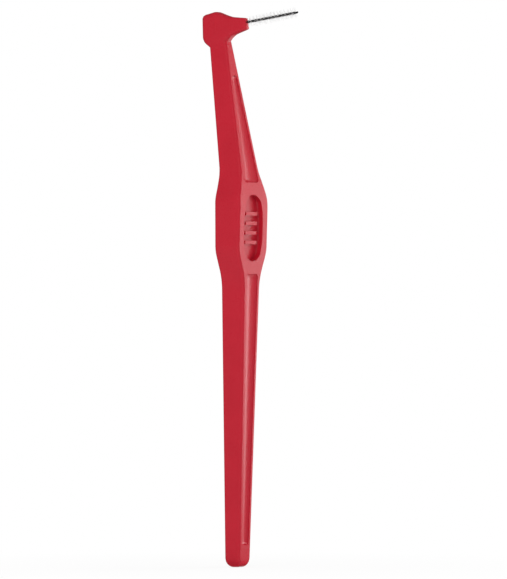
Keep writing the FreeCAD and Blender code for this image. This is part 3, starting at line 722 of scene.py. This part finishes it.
class FilamentOperator(bpy.types.Operator):
    """Fan the nylon filaments out of the twist"""

    bl_idname = "interdental.filaments"
    bl_label = "Filaments"

    def execute(self, context):
        material = self.material(context.scene.brush_filaments)
        groups = len(FILAMENT_NODES)
        surface, stations = self.surface(context.scene, groups)
        for group, node in enumerate(FILAMENT_NODES):
            name = node.replace("filaments_turn", "nylon_filaments")
            mesh = grid_mesh(name, surface[group], stations)
            new_piece(name, mesh, material, [node])
        return {"FINISHED"}

    def surface(self, scene, groups, sides=5):
        """Thin tubes through the axis, one after another along the twist.

        A filament at a place along the axis runs both ways from it, about square to the
        strands. At a share s of its half length it lies at s times that length outward, and
        has strayed by s squared times its own bend along the axis and round it. Its radius is
        full up to its narrowed ends.
        """
        wire, filaments = scene.brush_wire, scene.brush_filaments
        line = WireLine(wire)
        draw = np.random.default_rng(FILAMENT_SEED)
        count = groups * filaments.per_turn
        start = wire.anchor_length + filaments.start_margin
        stop = wire.wire_length - filaments.end_margin
        spacing = (stop - start) / count
        place = start + spacing * (np.arange(count) + draw.uniform(*PLACE_SHARES, count))
        angle = line.angle(place) + math.pi / 2 + draw.normal(0, ANGLE_SPREAD, count)
        share = STATION_SHARES
        reach = 1 - filaments.trim_share * draw.random((count, 2))
        lean = draw.normal(0, filaments.bend, (count, 2))
        swirl = draw.normal(0, filaments.bend / filaments.brush_radius, (count, 2))
        reach, lean, swirl = (np.where(share > 0, pair[:, 1:], pair[:, :1])
                              for pair in (reach, lean, swirl))
        out = share * reach * filaments.brush_radius
        turned = angle[:, None] + swirl * share ** 2
        centre = line.points(place[:, None] + lean * share ** 2,
                             out * np.cos(turned), out * np.sin(turned))
        way = np.gradient(centre, axis=1)
        way /= np.linalg.norm(way, axis=2, keepdims=True)
        side = np.cross(way, line.along)
        side /= np.linalg.norm(side, axis=2, keepdims=True)
        other = np.cross(way, side)
        round_angle = np.arange(sides) * ALL_ROUND / sides
        ring = (np.cos(round_angle)[:, None] * side[:, :, None]
                + np.sin(round_angle)[:, None] * other[:, :, None])
        radius = (filaments.filament_radius * RADIUS_SHARES)[None, :, None, None]
        points = centre[:, :, None] + radius * ring
        return points.reshape(groups, filaments.per_turn, *points.shape[1:]), share

    def material(self, filaments):
        """Clear nylon, with painted shade that darkens each filament near the wire. It stands in for
        the wire's shadow and for the dark wire seen through the nylon.
        """
        material, tree, shader = new_material("clear_nylon")
        place = tree.nodes.new("ShaderNodeTexCoord")
        split = tree.nodes.new("ShaderNodeSeparateXYZ")
        tree.links.new(place.outputs["UV"], split.inputs["Vector"])
        away = new_node(tree, "ShaderNodeMath", operation="ABSOLUTE")
        tree.links.new(split.outputs["Y"], away.inputs[0])
        # Painted shade: dark near the wire, fading to the clear colour further out
        clear_of_painted_shade = ranged(tree, away.outputs["Value"], filaments.painted_shade_share,
                         filaments.clear_share, 0, 1)
        colour = blend_colours(tree, clear_of_painted_shade, tuple(filaments.painted_shade), tuple(filaments.clear))
        tree.links.new(colour, shader.inputs["Base Color"])
        spots = noise(tree, place.outputs["Object"], filaments.spot_size, detail=2)
        gloss = ranged(tree, spots, filaments.spot_low_share, filaments.spot_high_share,
                       filaments.gloss_roughness, filaments.dull_roughness)
        tree.links.new(gloss, shader.inputs["Roughness"])
        return material


class StageOperator(bpy.types.Operator):
    """Set the camera, the lamps, the floor and the background"""

    bl_idname = "interdental.stage"
    bl_label = "Stage"

    def execute(self, context):
        scene = context.scene
        stage = scene.brush_stage
        scene.view_settings.view_transform = "Standard"
        self.place_camera(scene, stage)
        self.background(scene, stage)
        self.floor(scene, stage)
        self.dark_cards(scene, stage)
        self.lamps(scene, stage)
        return {"FINISHED"}

    def direction(self, azimuth, rise):
        """Way out from the handle at an azimuth, from -Y towards +X, and a height angle."""
        level = math.sin(azimuth) * X_AXIS - math.cos(azimuth) * Y_AXIS
        return math.cos(rise) * level + math.sin(rise) * Z_AXIS

    def aim(self, stage):
        """Point in the middle of the picture."""
        right = math.cos(stage.azimuth) * X_AXIS + math.sin(stage.azimuth) * Y_AXIS
        return right * stage.aim_side + stage.aim_height * Z_AXIS

    def place_camera(self, scene, stage):
        """Long lens, level with the middle of the handle."""
        camera = bpy.data.objects.new("camera", bpy.data.cameras.new("camera"))
        scene.collection.objects.link(camera)
        camera.data.sensor_fit = "VERTICAL"
        camera.data.sensor_height = stage.sensor / MM
        camera.data.lens = stage.sensor / MM * stage.distance / stage.view_height
        camera.data.clip_end = stage.camera_reach
        back = self.direction(stage.azimuth, stage.elevation)
        camera.location = self.aim(stage) + back * stage.distance
        camera.rotation_euler = (math.pi / 2 - stage.elevation, 0, stage.azimuth)
        scene.camera = camera

    def background(self, scene, stage):
        """White where the camera and reflections see it, and softer as a source of light."""
        scene.world = bpy.data.worlds.new("studio")
        scene.world.use_nodes = True
        tree = scene.world.node_tree
        light = tree.nodes["Background"]
        seen = self.seen(tree)
        strength = ranged(tree, seen, 0, 1, stage.ambient_share, 1)
        light.inputs["Color"].default_value = tuple(stage.white)
        tree.links.new(strength, light.inputs["Strength"])

    def seen(self, tree):
        """One on camera, glossy and transmission rays, and nothing on others."""
        path = tree.nodes.new("ShaderNodeLightPath")
        total = path.outputs["Is Camera Ray"]
        for ray in ("Is Glossy Ray", "Is Transmission Ray"):
            either = new_node(tree, "ShaderNodeMath", operation="MAXIMUM")
            tree.links.new(total, either.inputs[0])
            tree.links.new(path.outputs[ray], either.inputs[1])
            total = either.outputs["Value"]
        return total

    def floor(self, scene, stage, reach=3.0):
        """Pale floor that shows as the background and keeps a faint shadow."""
        mesh = bpy.data.meshes.new("floor")
        corners = [(-reach, -reach, 0), (reach, -reach, 0), (reach, reach, 0), (-reach, reach, 0)]
        mesh.from_pydata(corners, [], [(0, 1, 2, 3)])
        floor = bpy.data.objects.new("floor", mesh)
        scene.collection.objects.link(floor)
        material, tree, shader = new_material("pale_floor")
        shader.inputs["Base Color"].default_value = tuple(stage.white)
        shader.inputs["Roughness"].default_value = stage.floor_roughness
        glow = new_node(tree, "ShaderNodeEmission", Color=tuple(stage.white), Strength=1)
        mix = tree.nodes.new("ShaderNodeMixShader")
        place = tree.nodes.new("ShaderNodeTexCoord").outputs["Object"]
        away = new_node(tree, "ShaderNodeVectorMath", operation="LENGTH")
        tree.links.new(place, away.inputs[0])
        cover = ranged(tree, away.outputs["Value"], 0, stage.shadow_reach, 1 - stage.shadow_share, 1)
        glowing = new_node(tree, "ShaderNodeMath", operation="MULTIPLY")
        tree.links.new(cover, glowing.inputs[0])
        tree.links.new(self.seen(tree), glowing.inputs[1])
        tree.links.new(glowing.outputs["Value"], mix.inputs[0])
        tree.links.new(shader.outputs["BSDF"], mix.inputs[1])
        tree.links.new(glow.outputs["Emission"], mix.inputs[2])
        output = tree.nodes["Material Output"]
        tree.links.new(mix.outputs["Shader"], output.inputs["Surface"])
        mesh.materials.append(material)

    def dark_cards(self, scene, stage):
        """Dark cards that only reflections see.

        One bends round most of the handle, with a foot on the floor and a roof. It leaves a
        window behind on the right, with a short foot under it and a raised card over it.
        """
        foot = stage.card_foot
        roof = [(stage.card_radius, stage.card_height), (0, stage.card_height)]
        material, _, shader = new_material("dark_card")
        shader.inputs["Base Color"].default_value = tuple(stage.card_grey)
        shader.inputs["Roughness"].default_value = 1
        shader.inputs["Specular IOR Level"].default_value = 0
        far_end = stage.card_start + ALL_ROUND
        for name, start, end, profile in (
                ("round_card", stage.card_start, stage.card_end,
                 [(0, foot), (stage.card_radius, foot), *roof]),
                ("window_foot", stage.card_end, far_end, [(0, foot), (stage.foot_radius, foot)]),
                ("raised_card", stage.card_end, far_end,
                 [(stage.card_radius, stage.visor_height), *roof])):
            mesh = self.bent_card(name, start, end, np.array(profile))
            mesh.materials.append(material)
            card = bpy.data.objects.new(name, mesh)
            scene.collection.objects.link(card)
            for ray in ("camera", "diffuse", "transmission", "shadow", "volume_scatter"):
                setattr(card, f"visible_{ray}", False)

    def bent_card(self, name, start, end, profile, columns=33):
        """Profile of radii r and heights z, carried round as (r sin a, -r cos a, z)."""
        turn = np.linspace(start, end, columns)[:, None]
        radius, height = profile.T
        points = np.stack(np.broadcast_arrays(radius * np.sin(turn), -radius * np.cos(turn), height),
                          axis=-1)
        index = np.arange(columns * len(profile)).reshape(columns, -1)
        squares = np.stack([index[:-1, :-1], index[1:, :-1], index[1:, 1:], index[:-1, 1:]], axis=-1)
        mesh = bpy.data.meshes.new(name)
        mesh.from_pydata(points.reshape(-1, 3).tolist(), [], squares.reshape(-1, 4).tolist())
        return mesh

    def lamps(self, scene, stage):
        """Soft square lamps, unseen by reflections, and a tall one behind that they see."""
        aim = self.aim(stage)
        square = (stage.lamp_size, stage.lamp_size)
        for name, azimuth, rise, distance, size, power, reflected in (
                ("front", stage.front_azimuth, stage.front_rise, stage.lamp_distance,
                 square, stage.front_power, False),
                ("side", stage.side_azimuth, stage.side_rise, stage.lamp_distance,
                 square, stage.side_power, False),
                ("rim", stage.rim_azimuth, stage.rim_rise, stage.rim_distance,
                 (stage.rim_width, stage.rim_height), stage.rim_power, True)):
            lamp = bpy.data.lights.new(name, "AREA")
            lamp.shape = "RECTANGLE"
            lamp.size, lamp.size_y = size
            lamp.energy = power
            holder = bpy.data.objects.new(name, lamp)
            scene.collection.objects.link(holder)
            holder.visible_camera = False
            holder.visible_glossy = reflected
            holder.location = aim + self.direction(azimuth, rise) * distance
            holder.rotation_euler = (math.pi / 2 - rise, 0, azimuth)


class BrushPanel(bpy.types.Panel):
    """Sidebar list of the brush's pieces and stage"""

    bl_idname = "VIEW3D_PT_interdental_brush"
    bl_label = "Interdental brush"
    bl_space_type = "VIEW_3D"
    bl_region_type = "UI"
    bl_category = "Brush"

    def draw(self, context):
        for name, (operator, group) in PIECES.items():
            box = self.layout.box()
            box.operator(operator.bl_idname)
            for setting in group.__annotations__:
                box.prop(getattr(context.scene, name), setting)


PIECES = {
    "brush_stage": (StageOperator, StageSettings),
    "brush_handle": (HandleOperator, HandleSettings),
    "brush_head": (HeadOperator, HeadSettings),
    "brush_flutes": (FluteOperator, FluteSettings),
    "brush_recesses": (RecessOperator, RecessSettings),
    "brush_wire": (WireOperator, WireSettings),
    "brush_filaments": (FilamentOperator, FilamentSettings),
}


def register():
    """Register the settings, the operators and the panel."""
    for name, (operator, group) in PIECES.items():
        bpy.utils.register_class(group)
        setattr(bpy.types.Scene, name, bpy.props.PointerProperty(type=group))
        bpy.utils.register_class(operator)
    bpy.utils.register_class(BrushPanel)


def unregister():
    """Take the settings, the operators and the panel away again."""
    bpy.utils.unregister_class(BrushPanel)
    for name, (operator, group) in PIECES.items():
        bpy.utils.unregister_class(operator)
        delattr(bpy.types.Scene, name)
        bpy.utils.unregister_class(group)


def main():
    """Make every piece."""
    register()
    bpy.ops.interdental.stage()
    bpy.ops.interdental.handle()
    bpy.ops.interdental.head()
    bpy.ops.interdental.flutes()
    bpy.ops.interdental.recesses()
    bpy.ops.interdental.wire()
    bpy.ops.interdental.filaments()


if __name__ == "__main__":
    main()
